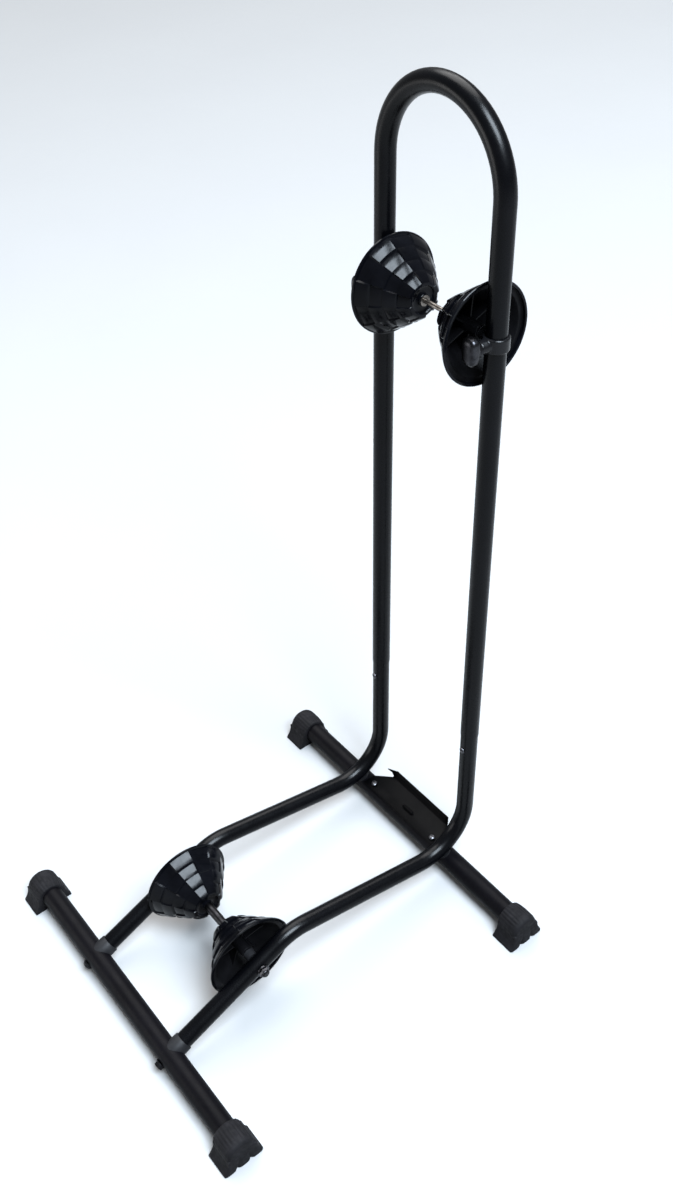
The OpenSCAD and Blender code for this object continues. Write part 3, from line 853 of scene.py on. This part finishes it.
def collar_mesh():
    """Collar of the +X leg in the mast frame: +Z up the leg, -Y forward, the roller towards -X."""
    low, high = -COLLAR_DROP - COLLAR_H / 2, -COLLAR_DROP + COLLAR_H / 2
    ring = lathe("ring", [(0, low), (COLLAR_R - 0.9, low), (COLLAR_R + 0.2, low + 1.1),
                          (COLLAR_R + 0.2, high - 1.1), (COLLAR_R - 0.9, high), (0, high)], 72)
    reach = LEG_X - BOSS_X
    boss = lathe("boss", [(0, 0), (7.6, 0), (7.4, reach - 5), (6.9, reach), (0, reach)], 48)
    boss.transform(AGAINST_X)
    forward = placed((0, 0, -COLLAR_DROP), (0, -1, 0))
    pad_end = KNOB_REACH - 1
    pad = lathe("pad", [(0, 0), (7.0, 0), (7.0, 15), (6.3, pad_end), (0, pad_end)], 48)
    pad.transform(forward)
    piece = scratch(join_meshes("collar", [ring, boss, pad]))
    soften(piece, 0.6, 2)
    leg_bore = scratch(prism("leg_bore", 96, HOOP_R + 0.06, -20, 20))
    axle_bore = put(scratch(prism("axle_bore", 48, UPPER_AXLE_R, 10.5, 30)), AGAINST_X)
    screw_bore = put(scratch(prism("screw_bore", 48, SCREW_BORE_R, 0, 40)), forward)
    boolean(piece, [leg_bore, axle_bore, screw_bore], "DIFFERENCE")
    return take_mesh(piece)


def superellipse(a, b, angle, power=3.2):
    """Point at an angle of an oval with full corners, half widths a and b."""
    def along(half, turn):
        return half * abs(turn) ** (2 / power) * (1 if turn > 0 else -1)

    return along(a, cos(angle)), along(b, sin(angle))


def knob_mesh():
    """Wing knob: local +Z points away from the leg, +Y up the mast."""
    rows = []
    for k in range(WING_RINGS + 1):
        t = -cos(pi * k / WING_RINGS)
        end = max(max(0.0, 1 - abs(t) ** 4) ** (1 / 2.6), 0.02)
        half_x, half_z = (8.6 + 0.5 * t) * end, (6.1 + 0.3 * t) * end
        row = []
        for j in range(WING_POINTS):
            x, z = superellipse(half_x, half_z, TAU * j / WING_POINTS)
            row.append((x, WING_HALF * t, WING_HEIGHT + z))
        rows.append(row)
    wing = grid_mesh("wing", rows)
    hub = lathe("hub", [(0, 0), (7.4, 0), (8.0, 0.6), (7.9, 3.6), (6.6, 7.4), (4.5, 10.0),
                        (0, 10.6)], 48)
    piece = scratch(join_meshes("knob", [wing, hub]))
    soften(piece, 0.6, 3)
    bore = scratch(prism("knob_bore", 48, 3.0, -1, 7))
    boolean(piece, [bore], "DIFFERENCE")
    return take_mesh(piece)


def make_clamps():
    collar, knob = collar_mesh(), knob_mesh()
    for side, name in ((-1, "left"), (1, "right")):
        centre = sided(UPPER_AXLE, side)
        piece = add_object("collar_" + name + "_body", collar.copy(), COLLAR_SATIN, sharp_angle=40)
        put(piece, placed(centre, MAST_UP) @ Matrix.Diagonal((side, 1, 1, 1)))
        finish_piece(piece, "carriage", "collar_plastic", "collar_" + name)
        piece = add_object("clamp_knob_" + name + "_wing", knob.copy(), KNOB_METAL, sharp_angle=40)
        knob_seat = centre + MAST_FORWARD * KNOB_REACH - MAST_UP * COLLAR_DROP
        put(piece, placed(knob_seat, MAST_FORWARD))
        finish_piece(piece, "clamp_" + name, "knob_metal", "clamp_knob_" + name)


# ---- carried-over CAD nodes ----
def dress_cad_nodes():
    slots = {part["node"]: part["material_slot"] for part in frame["record"]["subparts"]}
    for name, node in frame["nodes"].items():
        node.data.materials.clear()
        darker = name == "lower_axle_washers"
        node.data.materials.append(DARK_ZINC if darker else SLOT_MATERIALS[slots[name]])


# ---- stage, light, camera ----
def make_stage():
    mesh = bpy.data.meshes.new("floor")
    half = 40.0
    corners = [(-half, -half, 0), (half, -half, 0), (half, half, 0), (-half, half, 0)]
    mesh.from_pydata(corners, [], [(0, 1, 2, 3)])
    m = Nodes("floor_paper")
    m.colour(m.mix(m.noise(3, 3), (0.27, 0.27, 0.271), (0.28, 0.28, 0.28)))
    m.rough(m.span(m.noise(40, 2), 0.8, 0.95))
    m.set(Specular_IOR_Level=0.1)
    floor = add_object("floor", mesh, m.material, smooth=False)


STAND_MIDDLE = Vector((0, 0, 0.4))


def area_light(name, direction, distance, size, power, colour=(1, 1, 1)):
    """Softbox that faces the middle of the stand from a direction."""
    way = Vector(direction).normalized()
    light = bpy.data.lights.new(name, "AREA")
    light.shape = "RECTANGLE"
    light.size, light.size_y = size
    light.energy = power
    light.color = colour
    lamp = bpy.data.objects.new(name, light)
    lamp.location = STAND_MIDDLE + way * distance
    lamp.rotation_euler = (-way).to_track_quat("-Z", "Y").to_euler()
    bpy.context.scene.collection.objects.link(lamp)


def make_lights():
    """A cool softbox above, a weak one low at the front left, a broad soft sun and a pale sky."""
    world = bpy.data.worlds.new("studio")
    bpy.context.scene.world = world
    world.use_nodes = True
    background = world.node_tree.nodes["Background"]
    background.inputs["Color"].default_value = (0.93, 0.96, 1, 1)
    background.inputs["Strength"].default_value = 0.34
    area_light("key", (0.48, 0.09, 0.87), 5.5, (2.7, 3.2), 1300, (0.78, 0.89, 1.0))
    area_light("wall", (-0.57, -0.81, 0.10), 2.5, (1.5, 1.0), 25)
    sky = bpy.data.lights.new("sky", "SUN")
    sky.energy = 4.4
    sky.angle = radians(50)
    lamp = bpy.data.objects.new("sky", sky)
    lamp.rotation_euler = Vector((0.45, -0.30, -0.84)).to_track_quat("-Z", "Y").to_euler()
    bpy.context.scene.collection.objects.link(lamp)
    bpy.context.scene.view_settings.view_transform = "Standard"


def make_camera():
    """The camera solved from the outlines of the tubes, placed from the rear cross tube."""
    azimuth, elevation, roll = radians(53.22), radians(40.85), radians(3.94)
    back = Vector((sin(azimuth) * cos(elevation), -cos(azimuth) * cos(elevation), sin(elevation)))
    data = bpy.data.cameras.new("camera")
    data.lens = 38.31
    data.sensor_width = 36
    data.shift_x, data.shift_y = -0.0536, -0.0215
    data.clip_start, data.clip_end = 0.05, 50
    camera = bpy.data.objects.new("camera", data)
    camera.location = Vector((0.82915, -0.598992, 1.2883)) + REAR * MM
    camera.rotation_mode = "QUATERNION"
    camera.rotation_quaternion = (-back).to_track_quat("-Z", "Y") @ Quaternion((0, 0, 1), -roll)
    bpy.context.scene.collection.objects.link(camera)
    bpy.context.scene.camera = camera


dress_cad_nodes()
make_rollers()
make_feet()
make_plate()
make_plate_screws()
make_joint_screws()
make_front_bolts()
make_front_saddles()
make_rear_bolts()
make_lower_axle()
make_clamps()
make_stage()
make_lights()
make_camera()
